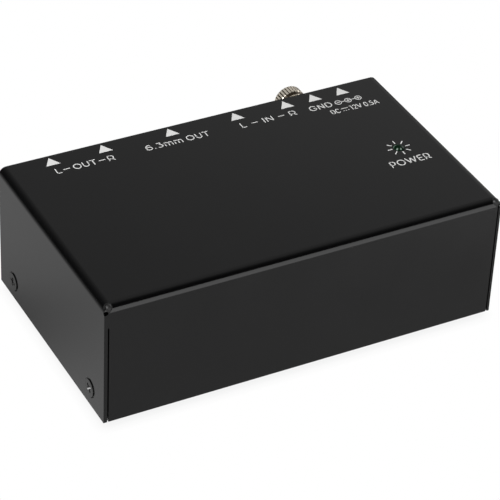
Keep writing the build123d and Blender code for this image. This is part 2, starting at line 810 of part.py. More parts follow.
def make_amplifier(x, y):
    """Eight-leg integrated circuit lying along x, with a notch at one end."""
    half_length = amplifier_length / 2
    half_width = amplifier_width / 2
    foot = board_top + leg_width
    top = foot + amplifier_height
    body = block(x - half_length, x + half_length, y - half_width, y + half_width, foot, top)
    body = chamfer(body.edges().group_by(Axis.Z)[-1], turned_edge)
    notch_depth = 0.2 * amplifier_height
    body -= upright(0.15 * amplifier_width, x - half_length, y, top - notch_depth, top + overrun)
    low = foot + amplifier_height / 2
    high = low + leg_thickness
    for leg_y in (y - half_width - leg_width / 2, y + half_width + leg_width / 2):
        for number in range(4):
            leg_x = x + (number - 1.5) * leg_pitch
            front = min(y, leg_y)
            back = max(y, leg_y)
            body += block(leg_x - leg_width / 2, leg_x + leg_width / 2, front, back, low, high)
            body += lead(leg_x, leg_y, high)
    return body


def make_regulator(x, y):
    """Three-leg voltage regulator standing up, with its drilled metal tab."""
    half_width = regulator_width / 2
    front = y - regulator_depth / 2
    back = y + regulator_depth / 2
    foot = board_top + regulator_stand
    top = foot + regulator_height
    body = block(x - half_width, x + half_width, front, back, foot, top)
    body = chamfer(body.edges().filter_by(Axis.X).group_by(Axis.Y)[0], turned_edge)
    tab = block(x - half_width, x + half_width, back - tab_thickness, back, top, top + tab_height)
    body += tab - rearward(tab_hole_radius, x, top + tab_height / 2, back - tab_thickness, back)
    for number in (-1, 0, 1):
        body += lead(x + number * leg_pitch, y, foot + lead_grip)
    return body


def make_choke(x, y):
    """Wound ferrite drum: two end flanges with the winding between them."""
    top = part_foot + choke_height
    drum = upright(0.86 * choke_radius, x, y, part_foot, top)
    drum += upright(choke_radius, x, y, part_foot, part_foot + choke_flange)
    drum += upright(choke_radius, x, y, top - choke_flange, top)
    for side in (-1, 1):
        drum += lead(x + side * 0.6 * choke_radius, y, part_foot + lead_grip)
    return drum


channel_spread = channel_spread_share * case_width
channel_middles = (phone_x - channel_spread, phone_x + channel_spread)
bypass_capacitors = []
film_capacitors = []
coupling_capacitors = []
resistors = []
for middle in channel_middles:
    for side in (-1, 1):
        bypass_x = middle + side * bypass_spread
        bypass_capacitors.append(make_can_capacitor(bypass_x, bypass_row_y, bypass_radius, bypass_height))
        coupling_x = middle + side * coupling_spread
        coupling = make_can_capacitor(coupling_x, coupling_row_y, coupling_radius, coupling_height)
        coupling_capacitors.append(coupling)
        for row_y in (film_row_y, film_row_y + film_row_pitch):
            film_capacitors.append(make_film_capacitor(middle + side * film_spread, row_y))
    for number in range(resistor_count):
        x = middle + (number - (resistor_count - 1) / 2) * resistor_pitch
        resistor = make_axial(x, resistor_row_y, resistor_span, resistor_length, resistor_radius)
        resistors.append(resistor)
save("bypass_capacitors", *bypass_capacitors)
save("film_capacitors", *film_capacitors)
save("coupling_capacitors", *coupling_capacitors)
save("left_resistors", *resistors[:resistor_count])
save("right_resistors", *resistors[resistor_count:])
save("input_amplifier", make_amplifier(phone_x, input_amplifier_y))
save("output_amplifier", make_amplifier(phone_x, output_amplifier_y))

supply_x = supply_share * case_width
save("supply_choke", make_choke(supply_x, choke_y))
reservoir_capacitors = []
for reservoir_y in (reservoir_front_y, reservoir_front_y + reservoir_pitch):
    reservoir_capacitors.append(make_can_capacitor(supply_x, reservoir_y, reservoir_radius, reservoir_height))
save("reservoir_capacitors", *reservoir_capacitors)
save("voltage_regulator", make_regulator(regulator_share * case_width, regulator_y))
diode_x = diode_share * case_width
save("rectifier_diode", make_axial(diode_x, diode_y, diode_span, diode_length, diode_radius))

board = block(
    board_side_gap, case_width - board_side_gap,
    board_front_gap, panel_back - board_rear_gap,
    board_bottom, board_top,
)
for x, y in pillar_places():
    board -= upright(screw_radius + part_clearance, x, y, board_bottom, board_top)
for x, y, radius in drillings:
    board -= upright(radius, x, y, board_bottom, board_top)
save("circuit_board", board)
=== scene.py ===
import math

import bpy
import numpy as np
from mathutils import Euler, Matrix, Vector


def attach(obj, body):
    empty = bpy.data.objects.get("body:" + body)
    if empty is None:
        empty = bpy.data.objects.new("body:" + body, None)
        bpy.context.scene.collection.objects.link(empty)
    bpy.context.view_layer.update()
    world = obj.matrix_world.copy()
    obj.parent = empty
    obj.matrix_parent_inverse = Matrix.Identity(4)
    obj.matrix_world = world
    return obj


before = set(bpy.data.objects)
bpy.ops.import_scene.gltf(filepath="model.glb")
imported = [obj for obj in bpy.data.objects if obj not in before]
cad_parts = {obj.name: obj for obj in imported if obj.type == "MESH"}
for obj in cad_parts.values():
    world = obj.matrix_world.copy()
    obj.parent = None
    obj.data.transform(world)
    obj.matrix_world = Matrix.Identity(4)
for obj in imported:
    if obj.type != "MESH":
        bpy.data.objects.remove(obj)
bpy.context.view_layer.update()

# Camera: a long lens from the front left, well above the top, with no shift. Its
# place, turn and lens are a program's least-squares fit to the case's edges and
# corners, its screws, the light and the print.
camera_place = (-0.30464616, -0.55848453, 0.47528010)
camera_turn = (54.122930, -2.325631, -27.338329)
camera_lens = 177.2721

camera = bpy.data.objects.new("camera", bpy.data.cameras.new("camera"))
camera.location = camera_place
camera.rotation_euler = Euler([math.radians(a) for a in camera_turn])
camera.data.lens = camera_lens
camera.data.sensor_width = 36.0
camera.data.clip_start = 0.01
camera.data.clip_end = 20.0
bpy.context.scene.collection.objects.link(camera)
bpy.context.scene.camera = camera
bpy.context.scene.view_settings.view_transform = "Standard"

# Studio: a white table under a tent of soft cards. The cards are bands of the
# world, each with its own place in azimuth and elevation, and the black coat
# shows them as its grey faces and bright edges. The camera itself sees plain
# white there. Two soft boxes, a key and a weak fill, add to the cards' light.
# The cards' numbers are a program's least-squares fit to the coat's greys from
# this one view, rounded, with the left floor's strength then raised.
studio_cards = (
    # name, azimuth from the back towards the right, half width, its softness,
    # bottom, top, their softness, radiance
    ("overhead_card", 47, 53, 58, 12, 120, 57, 0.31),
    ("back_window", 42, 22, 17, 10, 33, 7, 0.2),
    ("front_floor", 180, 62, 20, -100, -32, 2, 0.4),
    ("front_strip", 160, 50, 12, -32, 18, 4, 1.6),
    ("left_floor", -45, 60, 12, -100, -15, 46, 0.57),
    ("right_floor", 74, 31, 8, -100, 11, 15, 0.24),
)


def link(tree, source, target):
    """Joins two sockets of a node tree, each given as (node, name or index)."""
    tree.links.new(source[0].outputs[source[1]], target[0].inputs[target[1]])


def node(tree, kind, **settings):
    """A new node of a tree, with its properties or sockets set by name."""
    made = tree.nodes.new(kind)
    for name, value in settings.items():
        if hasattr(made, name):
            setattr(made, name, value)
        else:
            made.inputs[name.replace("_", " ")].default_value = value
    return made


def maths(tree, operation, *values):
    """A Math node; each value is a number or the output socket that feeds it."""
    made = node(tree, "ShaderNodeMath", operation=operation)
    for i, value in enumerate(values):
        if isinstance(value, bpy.types.NodeSocket):
            tree.links.new(value, made.inputs[i])
        else:
            made.inputs[i].default_value = value
    return made.outputs[0]


def smooth(tree, value, low, high):
    """A smooth step: 0 at low and 1 at high, where low may be the larger."""
    made = node(tree, "ShaderNodeMapRange", interpolation_type="SMOOTHSTEP", From_Min=low, From_Max=high)
    tree.links.new(value, made.inputs["Value"])
    return made.outputs["Result"]


world = bpy.data.worlds.new("studio_tent")
world.use_nodes = True
bpy.context.scene.world = world
tent = world.node_tree
tent.nodes.clear()
ray = node(tent, "ShaderNodeTexCoord")
parts = node(tent, "ShaderNodeSeparateXYZ")
link(tent, (ray, "Generated"), (parts, 0))
to_degrees = 180.0 / math.pi
azimuth = maths(tent, "MULTIPLY", maths(tent, "ARCTAN2", parts.outputs["X"], parts.outputs["Y"]), to_degrees)
elevation = maths(tent, "MULTIPLY", maths(tent, "ARCSINE", parts.outputs["Z"]), to_degrees)
radiance = None
for name, centre, half_width, side_softness, bottom, top, softness, strength in studio_cards:
    turned = maths(tent, "SUBTRACT", azimuth, centre)
    off = maths(tent, "ABSOLUTE", maths(tent, "WRAP", turned, 180.0, -180.0))
    across = smooth(tent, off, half_width + side_softness, half_width - side_softness)
    above = smooth(tent, elevation, bottom - softness / 2, bottom + softness / 2)
    below = smooth(tent, elevation, top + softness / 2, top - softness / 2)
    band = maths(tent, "MULTIPLY", across, above)
    card = maths(tent, "MULTIPLY", band, maths(tent, "MULTIPLY", below, strength))
    radiance = card if radiance is None else maths(tent, "ADD", radiance, card)
path = node(tent, "ShaderNodeLightPath")
seen = maths(tent, "MAXIMUM", path.outputs["Is Camera Ray"], path.outputs["Is Transmission Ray"])
shown = node(tent, "ShaderNodeMix", data_type="FLOAT")
tent.links.new(seen, shown.inputs[0])
tent.links.new(radiance, shown.inputs[2])
shown.inputs[3].default_value = 1.0
background = node(tent, "ShaderNodeBackground")
tent.links.new(shown.outputs[0], background.inputs["Strength"])
tent_out = node(tent, "ShaderNodeOutputWorld")
link(tent, (background, 0), (tent_out, 0))

box_distance = 1.2
soft_boxes = (
    # name, direction from the object, side, power
    ("key_box", (-0.75, -0.35, 0.55), 0.7, 18.0),
    ("fill_box", (0.85, 0.3, 0.45), 0.5, 3.0),
)
for name, direction, size, power in soft_boxes:
    toward = Vector(direction).normalized()
    box = bpy.data.objects.new(name, bpy.data.lights.new(name, "AREA"))
    box.data.shape = "SQUARE"
    box.data.size = size
    box.data.energy = power
    box.location = toward * box_distance
    box.rotation_euler = toward.to_track_quat("Z", "Y").to_euler()
    box.visible_camera = False
    bpy.context.scene.collection.objects.link(box)

floor_half = 3.0
floor_tone = (0.8, 0.8, 0.8, 1)
contact_reach = 0.004
contact_white = 0.8
mirror_reach = 0.12
mirror_shade_front = -0.035
mirror_shade_back = 0.02
floor_signs = ((-1, -1), (1, -1), (1, 1), (-1, 1))
floor_mesh = bpy.data.meshes.new("floor")
floor_mesh.from_pydata([(a * floor_half, b * floor_half, 0) for a, b in floor_signs], [], [(0, 1, 2, 3)])
floor = bpy.data.objects.new("floor", floor_mesh)
bpy.context.scene.collection.objects.link(floor)
floor_white = bpy.data.materials.new("floor_white")
floor_white.use_nodes = True
tree = floor_white.node_tree
tree.nodes.clear()
matt = node(tree, "ShaderNodeBsdfDiffuse", Color=floor_tone)
path = node(tree, "ShaderNodeLightPath")
# What the camera sees: white, a little shaded close under the object. No lamp's
# shadow shows on it.
near_shade = node(tree, "ShaderNodeAmbientOcclusion", samples=8, Distance=contact_reach)
glow = node(tree, "ShaderNodeEmission")
near_level = node(tree, "ShaderNodeMapRange")
link(tree, (near_shade, "AO"), (near_level, "Value"))
near_level.inputs["To Min"].default_value = contact_white
link(tree, (near_level, 0), (glow, "Strength"))
# What the coat mirrors: the tent's lower cards, shaded beside and behind the object.
wide_shade = node(tree, "ShaderNodeAmbientOcclusion", samples=8, Distance=mirror_reach)
clear = node(tree, "ShaderNodeBsdfTransparent")
place = node(tree, "ShaderNodeTexCoord")
floor_parts = node(tree, "ShaderNodeSeparateXYZ")
link(tree, (place, "Object"), (floor_parts, 0))
behind = smooth(tree, floor_parts.outputs["Y"], mirror_shade_front, mirror_shade_back)
shaded = maths(tree, "MULTIPLY", maths(tree, "SUBTRACT", 1.0, wide_shade.outputs["AO"]), behind)
tree.links.new(maths(tree, "SUBTRACT", 1.0, shaded), clear.inputs["Color"])
pick = node(tree, "ShaderNodeMixShader")
mirrored = node(tree, "ShaderNodeMixShader")
floor_out = node(tree, "ShaderNodeOutputMaterial")
link(tree, (path, "Is Camera Ray"), (pick, 0))
link(tree, (matt, 0), (pick, 1))
link(tree, (glow, 0), (pick, 2))
link(tree, (path, "Is Glossy Ray"), (mirrored, 0))
link(tree, (pick, 0), (mirrored, 1))
link(tree, (clear, 0), (mirrored, 2))
link(tree, (mirrored, 0), (floor_out, 0))
floor_mesh.materials.append(floor_white)

# Folded case: a cover and a tray of steel sheet, bent and powder coated black.
# The coat is satin, with the very fine peel that baked powder keeps. Its colour
# is set deeper than a real coat's, to stay black under the cards.
coat_light = (0.0023, 0.0023, 0.0024, 1)
coat_dark = (0.0016, 0.0016, 0.0017, 1)
coat_roughness = 0.15
coat_specular = 0.66
coat_peel_size = 0.6
coat_peel_depth = 0.00001
corner_ear = (0.0658, 0.0453, 0.0444)
ear_reach = 0.00145
ear_fade = 0.9
ear_roughness = 0.55


def surface_group():
    """Shader group: noise, finer along each axis by its stretch. The fine grain is a height,
    and broad clouds, thirty times as large, blend two near tones and shift the roughness."""
    group = bpy.data.node_groups.new("worked_surface", "ShaderNodeTree")
    sockets = (
        ("Light", "NodeSocketColor", (0.5, 0.5, 0.5, 1)),
        ("Dark", "NodeSocketColor", (0.4, 0.4, 0.4, 1)),
        ("Size", "NodeSocketFloat", 0.6),
        ("Stretch", "NodeSocketVector", (1, 1, 1)),
        ("Roughness", "NodeSocketFloat", 0.3),
        ("Variation", "NodeSocketFloat", 0.05),
    )
    for name, kind, value in sockets:
        group.interface.new_socket(name, in_out="INPUT", socket_type=kind).default_value = value
    group.interface.new_socket("Color", in_out="OUTPUT", socket_type="NodeSocketColor")
    group.interface.new_socket("Roughness", in_out="OUTPUT", socket_type="NodeSocketFloat")
    group.interface.new_socket("Height", in_out="OUTPUT", socket_type="NodeSocketFloat")
    start = node(group, "NodeGroupInput")
    end = node(group, "NodeGroupOutput")
    place = node(group, "ShaderNodeTexCoord")
    drawn = node(group, "ShaderNodeVectorMath", operation="MULTIPLY")
    link(group, (place, "Object"), (drawn, 0))
    link(group, (start, "Stretch"), (drawn, 1))
    scale = maths(group, "DIVIDE", 1000.0, start.outputs["Size"])
    fine = node(group, "ShaderNodeTexNoise", Detail=3.0)
    broad = node(group, "ShaderNodeTexNoise", Detail=2.0)
    for noise, share in ((fine, 1.0), (broad, 1 / 30)):
        link(group, (drawn, 0), (noise, "Vector"))
        group.links.new(maths(group, "MULTIPLY", scale, share), noise.inputs["Scale"])
    tone = node(group, "ShaderNodeMix", data_type="RGBA")
    link(group, (broad, "Fac"), (tone, 0))
    link(group, (start, "Dark"), (tone, 6))
    link(group, (start, "Light"), (tone, 7))
    link(group, (tone, 2), (end, "Color"))
    cloud = maths(group, "SUBTRACT", broad.outputs["Fac"], 0.5)
    shift = maths(group, "MULTIPLY", cloud, start.outputs["Variation"])
    group.links.new(maths(group, "ADD", start.outputs["Roughness"], shift), end.inputs["Roughness"])
    link(group, (fine, "Fac"), (end, "Height"))
    return group


worked_surface = surface_group()


def surface(
    name, light, dark, roughness, metallic=0.0, specular=0.5, size=0.6, depth=0.00001, stretch=(1, 1, 1)
):
    """Builds a material, new or a node's own, on the group above; gives back its tree and shader.
    The grain's size is in millimetres and its depth in metres."""
    material = bpy.data.materials.get(name) or bpy.data.materials.new(name)
    material.use_nodes = True
    tree = material.node_tree
    tree.nodes.clear()
    shader = node(tree, "ShaderNodeBsdfPrincipled")
    shader.inputs["Metallic"].default_value = metallic
    shader.inputs["Specular IOR Level"].default_value = specular
    worked = node(tree, "ShaderNodeGroup", node_tree=worked_surface)
    settings = {"Light": light, "Dark": dark, "Size": size, "Stretch": stretch, "Roughness": roughness}
    for socket, value in settings.items():
        worked.inputs[socket].default_value = value
    bump = node(tree, "ShaderNodeBump", Strength=1.0, Distance=depth)
    out = node(tree, "ShaderNodeOutputMaterial")
    link(tree, (worked, "Color"), (shader, "Base Color"))
    link(tree, (worked, "Roughness"), (shader, "Roughness"))
    link(tree, (worked, "Height"), (bump, "Height"))
    link(tree, (bump, 0), (shader, "Normal"))
    link(tree, (shader, 0), (out, 0))
    return tree, shader


tree, shader = surface(
    "black_powder_coat",
    coat_light,
    coat_dark,
    coat_roughness,
    specular=coat_specular,
    size=coat_peel_size,
    depth=coat_peel_depth,
)
# The pressed ears at the two front corners are made duller than the rest, only to
# keep the key box from showing in them as a hot point.
place = node(tree, "ShaderNodeTexCoord")
mirrored_place = node(tree, "ShaderNodeVectorMath", operation="ABSOLUTE")
link(tree, (place, "Object"), (mirrored_place, 0))
from_ear = node(tree, "ShaderNodeVectorMath", operation="DISTANCE")
link(tree, (mirrored_place, 0), (from_ear, 0))
from_ear.inputs[1].default_value = corner_ear
dull = node(tree, "ShaderNodeMix", data_type="FLOAT")
even = shader.inputs["Roughness"].links[0].from_socket
tree.links.new(smooth(tree, from_ear.outputs["Value"], ear_reach, ear_fade * ear_reach), dull.inputs[0])
tree.links.new(even, dull.inputs[2])
dull.inputs[3].default_value = ear_roughness
tree.links.new(dull.outputs[0], shader.inputs["Roughness"])

# Cover screws: four countersunk machine screws with a cross recess, in black zinc
# plate, a little duller than the coat round them.
screw_light = (0.006, 0.006, 0.0062, 1)
screw_dark = (0.003, 0.003, 0.003, 1)
surface("black_steel", screw_light, screw_dark, 0.26, specular=0.7, size=0.3)

# Printed legend: white screen ink on the top of the cover, cured onto the coat
# as a film a few hundredths of a millimetre thick. Each mark names the socket
# or the light beside it, in an even-stroked plain sans. Sizes are millimetres
# from the case's front left bottom corner.
case_corner = Vector((-0.0675, -0.0465, 0.0025))
case_height = 43.1
ink_film = 0.03
ink_sink = 0.01
pointer_places = (
    (16.25, 73.35),
    (34.25, 73.5),
    (57.55, 73.5),
    (80.8, 73.4),
    (98.85, 73.15),
    (109.1, 73.2),
    (119.3, 73.15),
)
pointer_length = 4.05
pointer_half = 2.38
ray_inner = 2.5
ray_outer = 3.87
ray_stroke = 0.34
light_place = (120.15, 38.1)
letter_gap = 0.17


def line(*points):
    """A straight stroke through the points."""
    return np.array(points, float)


def bow(x, y, wide, high, start, end, count=17):
    """Points on an ellipse about (x, y) with those half axes, at equal angles from start to end
    in degrees."""
    angle = np.radians(np.linspace(start, end, count))
    return np.stack([x + wide * np.cos(angle), y + high * np.sin(angle)], 1)


stem = line((0.08, 0.07), (0.08, 0.93))

# Each letter is its width and its strokes' centre lines, for a cap height of 1.
letters = {
    "L": (0.54, [line((0.07, 0.93), (0.07, 0.07)), line((0.07, 0.07), (0.5, 0.07))]),
    "O": (1.0, [bow(0.5, 0.5, 0.43, 0.43, 0, 360, 33)]),
    "U": (
        0.8,
        [
            line((0.08, 0.93), (0.08, 0.4)),
            bow(0.4, 0.4, 0.32, 0.33, 180, 360),
            line((0.72, 0.4), (0.72, 0.93)),
        ],
    ),
    "T": (0.74, [line((0.05, 0.93), (0.69, 0.93)), line((0.37, 0.93), (0.37, 0.07))]),
    "R": (
        0.72,
        [
            stem,
            line((0.08, 0.93), (0.37, 0.93)),
            bow(0.37, 0.625, 0.29, 0.305, 90, -90),
            line((0.37, 0.32), (0.08, 0.32)),
            line((0.43, 0.32), (0.65, 0.07)),
        ],
    ),
    "I": (0.14, [line((0.07, 0.93), (0.07, 0.07))]),
    "N": (0.8, [stem, line((0.08, 0.93), (0.72, 0.07)), line((0.72, 0.07), (0.72, 0.93))]),
    "G": (
        0.94,
        [
            bow(0.5, 0.5, 0.43, 0.43, 42, 318),
            line((0.83, 0.2), (0.86, 0.47)),
            line((0.86, 0.47), (0.58, 0.47)),
        ],
    ),
    "D": (
        0.86,
        [
            stem,
            line((0.08, 0.93), (0.37, 0.93)),
            bow(0.37, 0.5, 0.42, 0.43, 90, -90),
            line((0.37, 0.07), (0.08, 0.07)),
        ],
    ),
    "P": (
        0.7,
        [
            stem,
            line((0.08, 0.93), (0.36, 0.93)),
            bow(0.36, 0.65, 0.27, 0.28, 90, -90),
            line((0.36, 0.37), (0.08, 0.37)),
        ],
    ),
    "W": (
        1.28,
        [
            line((0.05, 0.93), (0.36, 0.07)),
            line((0.36, 0.07), (0.64, 0.93)),
            line((0.64, 0.93), (0.92, 0.07)),
            line((0.92, 0.07), (1.23, 0.93)),
        ],
    ),
    "E": (
        0.64,
        [
            stem,
            line((0.08, 0.93), (0.57, 0.93)),
            line((0.08, 0.5), (0.52, 0.5)),
            line((0.08, 0.07), (0.57, 0.07)),
        ],
    ),
    "C": (0.86, [bow(0.5, 0.5, 0.43, 0.43, 45, 315)]),
    "V": (0.84, [line((0.05, 0.93), (0.42, 0.07)), line((0.42, 0.07), (0.79, 0.93))]),
    "A": (
        0.88,
        [
            line((0.05, 0.07), (0.44, 0.93)),
            line((0.44, 0.93), (0.83, 0.07)),
            line((0.19, 0.3), (0.69, 0.3)),
        ],
    ),
    "m": (
        1.1,
        [
            line((0.08, 0.07), (0.08, 0.68)),
            bow(0.31, 0.45, 0.23, 0.23, 180, 0, 11),
            line((0.54, 0.45), (0.54, 0.07)),
            bow(0.77, 0.45, 0.23, 0.23, 180, 0, 11),
            line((1.0, 0.45), (1.0, 0.07)),
        ],
    ),
    "0": (0.74, [bow(0.37, 0.5, 0.3, 0.43, 0, 360, 33)]),
    "1": (0.34, [line((0.05, 0.93), (0.24, 0.93)), line((0.24, 0.93), (0.24, 0.07))]),
    "2": (
        0.64,
        [
            bow(0.31, 0.68, 0.25, 0.25, 155, -38),
            line((0.5, 0.53), (0.07, 0.07)),
            line((0.07, 0.07), (0.58, 0.07)),
        ],
    ),
    "3": (
        0.62,
        [
            line((0.08, 0.93), (0.5, 0.93)),
            line((0.5, 0.93), (0.27, 0.58)),
            bow(0.27, 0.325, 0.27, 0.255, 90, -130),
        ],
    ),
    "5": (
        0.62,
        [
            line((0.52, 0.93), (0.14, 0.93)),
            line((0.14, 0.93), (0.11, 0.58)),
            bow(0.27, 0.335, 0.27, 0.265, 125, -130),
        ],
    ),
    "6": (0.68, [bow(0.34, 0.33, 0.27, 0.26, 0, 360, 25), bow(0.37, 0.45, 0.3, 0.48, 60, 185)]),
    ".": (0.16, [line((0.08, 0.07), (0.08, 0.09))]),
    "-": (0.7, [line((0.06, 0.5), (0.64, 0.5))]),
}


def write(text, left, right, base, height):
    """The strokes of a word set between left and right on a base line, in millimetres: the
    letters keep their shares of its width."""
    widths = [letters[c][0] for c in text]
    stretch = (right - left) / (sum(widths) + letter_gap * (len(text) - 1))
    starts = np.cumsum([0.0] + [w + letter_gap for w in widths[:-1]])
    return [
        np.stack([left + stretch * (start + stroke[:, 0]), base + height * stroke[:, 1]], 1)
        for c, start in zip(text, starts)
        for stroke in letters[c][1]
    ]


def ribbon(path, half, low, high):
    """A flat bar carried along a path: its half width is half, and past each end it closes as
    the cosine of an angle whose sine carries it on."""
    steps = 5
    along = np.gradient(path, axis=0)
    along /= np.linalg.norm(along, axis=1, keepdims=True)
    lean = np.radians(np.linspace(75, 15, steps))
    first = path[0] - np.outer(np.sin(lean), along[0]) * half
    last = path[-1] + np.outer(np.sin(lean[::-1]), along[-1]) * half
    centre = np.concatenate([first, path, last])
    along = np.concatenate([np.repeat(along[:1], steps, 0), along, np.repeat(along[-1:], steps, 0)])
    reach = np.concatenate([np.cos(lean), np.ones(len(path)), np.cos(lean[::-1])]) * half
    side = np.stack([-along[:, 1], along[:, 0]], 1) * reach[:, None]
    corners = [(-1, low), (-1, high), (1, high), (1, low)]
    edges = [np.c_[centre + sign * side, np.full(len(centre), z)] for sign, z in corners]
    grid = np.stack(edges, 1)
    ring = np.arange(4)
    rows = np.arange(len(centre) - 1)[:, None] * 4
    onward = (ring + 1) % 4
    faces = np.stack([rows + ring, rows + 4 + ring, rows + 4 + onward, rows + onward], 2).reshape(-1, 4)
    ends = [[0, 1, 2, 3], [len(centre) * 4 - 1 - k for k in range(4)]]
    return grid.reshape(-1, 3), np.concatenate([faces, ends])


def plate(corners, low, high):
    """A flat plate with upright sides over corners that go round to the left."""
    corners = np.array(corners, float)
    count = len(corners)
    points = np.concatenate([np.c_[corners, np.full(count, low)], np.c_[corners, np.full(count, high)]])
    ring = np.arange(count)
    sides = [[i, (i + 1) % count, (i + 1) % count + count, i + count] for i in ring]
    return points, sides + [list(ring[::-1]), list(ring + count)]


def joined_mesh(name, solids):
    """One mesh of several solids, each its points in millimetres from the case's corner and its faces."""
    points, faces, start = [], [], 0
    for own_points, own_faces in solids:
        points.append(own_points)
        faces += [[int(i) + start for i in face] for face in own_faces]
        start += len(own_points)
    mesh = bpy.data.meshes.new(name)
    mesh.from_pydata(np.concatenate(points) / 1000 + np.array(case_corner), [], faces)
    mesh.validate()
    return mesh


low = case_height - ink_sink
high = case_height + ink_film
legend = []
for x, base in pointer_places:
    outline = [(x - pointer_half, base), (x + pointer_half, base), (x, base + pointer_length)]
    legend.append(plate(outline, low, high))
word_rows = (
    # stroke width, cap height, then each word with its left, right and base line
    (
        0.33,
        2.85,
        (
            ("L", 15.4, 17.1, 68.25),
            ("-", 17.9, 20.25, 68.25),
            ("OUT", 21.3, 29.2, 68.25),
            ("-", 29.9, 32.3, 68.25),
            ("R", 33.0, 35.3, 68.25),
            ("6", 46.3, 48.7, 68.6),
            (".", 49.05, 49.65, 68.6),
            ("3", 50.4, 52.4, 68.6),
            ("mm", 52.8, 59.2, 68.6),
            ("OUT", 60.6, 68.6, 68.55),
            ("L", 79.9, 81.5, 68.2),
            ("-", 83.7, 86.0, 68.2),
            ("IN", 87.9, 91.55, 68.2),
            ("-", 93.3, 95.7, 68.2),
            ("R", 97.4, 99.85, 68.2),
            ("GND", 104.7, 113.0, 67.9),
        ),
    ),
    (0.3, 2.6, (("DC", 110.35, 113.4, 63.5), ("12V", 117.5, 121.6, 63.5), ("0.5A", 122.5, 127.7, 63.5))),
    (0.36, 3.25, (("POWER", 112.65, 126.95, 28.75),)),
)
for stroke_width, cap_height, words in word_rows:
    for text, left, right, base in words:
        strokes = write(text, left, right, base, cap_height)
        legend += [ribbon(stroke, stroke_width / 2, low, high) for stroke in strokes]
for turn in np.radians(np.arange(0, 360, 45)):
    aim = np.array([math.cos(turn), math.sin(turn)])
    spoke = np.array(light_place) + np.outer((ray_inner, ray_outer), aim)
    legend.append(ribbon(spoke, ray_stroke / 2, low, high))
# The inlet's polarity: a ring with a minus to the left for the plug's sleeve, a
# middle ring with a dot for its pin, and a ring with a plus to the right.
polarity_y = 69.2
sign_radius = 1.07
minus_x, pin_x, plus_x = 115.35, 119.0, 122.75
minus_half = 0.5
plus_half = 0.55
dot_radius = 0.45
sign_joins = ((116.5, 117.85), (119.0, 121.6))
fine = 0.13
for x in (minus_x, pin_x, plus_x):
    legend.append(ribbon(bow(x, polarity_y, sign_radius, sign_radius, 0, 360, 33), fine, low, high))
minus_ends = (minus_x - minus_half, minus_x + minus_half)
plus_ends = (plus_x - plus_half, plus_x + plus_half)
for start, end in (minus_ends, plus_ends, *sign_joins):
    legend.append(ribbon(line((start, polarity_y), (end, polarity_y)), fine, low, high))
plus_upright = line((plus_x, polarity_y - plus_half), (plus_x, polarity_y + plus_half))
legend.append(ribbon(plus_upright, fine, low, high))
legend.append(plate(bow(pin_x, polarity_y, dot_radius, dot_radius, 0, 340, 18), low, high))
# The sign for direct current: a bar over three dashes.
bar_ends = (114.4, 116.7)
bar_y = 65.4
dash_y = 64.1
dash_half = 0.1
legend.append(ribbon(line((bar_ends[0], bar_y), (bar_ends[1], bar_y)), fine, low, high))
for x in (114.7, 115.6, 116.5):
    legend.append(ribbon(line((x - dash_half, dash_y), (x + dash_half, dash_y)), fine, low, high))
printed_legend = bpy.data.objects.new("printed_legend", joined_mesh("printed_legend", legend))
bpy.context.scene.collection.objects.link(printed_legend)
ink_light = (0.93, 0.93, 0.92, 1)
ink_dark = (0.87, 0.87, 0.86, 1)
surface("white_ink", ink_light, ink_dark, 0.45, specular=0.3, size=0.2, depth=0.000003)
printed_legend.data.materials.append(bpy.data.materials["white_ink"])
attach(printed_legend, "case")

# Power light: a round lamp of tinted resin that stands in a hole in the top. Its
# reflections are painted into its colour: a pale rim towards the back, and two
# small painted highlights at the near rim, which don't move with the view.
lens_centre = (0.0527, -0.0084)
lens_light = (0.0015, 0.014, 0.005, 1)
lens_dark = (0.001, 0.009, 0.003, 1)
lens_painted_rim = (0.13, 0.205, 0.155, 1)
lens_painted_patch = (0.22, 0.28, 0.24, 1)
painted_rim_centre = (-0.0003, -0.0009)
painted_rim_inner = 0.00178
painted_rim_outer = 0.002
painted_patch_centres = ((-0.00118, -0.0009), (-0.00012, -0.00138))
painted_patch_radius = 0.00038
painted_patch_fade = 0.5


def tinted(tree, shader, mask, color):
    """Lays a plain colour over a shader's base colour where the mask is 1."""
    below = shader.inputs["Base Color"].links[0].from_socket
    over = node(tree, "ShaderNodeMix", data_type="RGBA")
    tree.links.new(mask, over.inputs[0])
    tree.links.new(below, over.inputs[6])
    over.inputs[7].default_value = color
    tree.links.new(over.outputs[2], shader.inputs["Base Color"])


def object_axes(tree):
    """The three object coordinates as separate sockets."""
    place = node(tree, "ShaderNodeTexCoord")
    axes = node(tree, "ShaderNodeSeparateXYZ")
    link(tree, (place, "Object"), (axes, 0))
    return axes.outputs


def distance(tree, first, first_centre, second, second_centre):
    """Distance from an axis through (first_centre, second_centre), both in metres."""
    a = maths(tree, "SUBTRACT", first, first_centre)
    b = maths(tree, "SUBTRACT", second, second_centre)
    squares = maths(tree, "ADD", maths(tree, "MULTIPLY", a, a), maths(tree, "MULTIPLY", b, b))
    return maths(tree, "SQRT", squares)


tree, shader = surface("green_lens", lens_light, lens_dark, 0.25, specular=0.12, size=0.5, depth=0.000001)
x, y, z = object_axes(tree)
# Painted reflection: the pale rim, then the two painted highlights at the near rim.
from_painted_rim = distance(tree, x, lens_centre[0] + painted_rim_centre[0], y, lens_centre[1] + painted_rim_centre[1])
tinted(tree, shader, smooth(tree, from_painted_rim, painted_rim_inner, painted_rim_outer), lens_painted_rim)
for painted_patch_x, painted_patch_y in painted_patch_centres:
    from_painted_patch = distance(tree, x, lens_centre[0] + painted_patch_x, y, lens_centre[1] + painted_patch_y)
    tinted(tree, shader, smooth(tree, from_painted_patch, painted_patch_radius, painted_patch_fade * painted_patch_radius), lens_painted_patch)

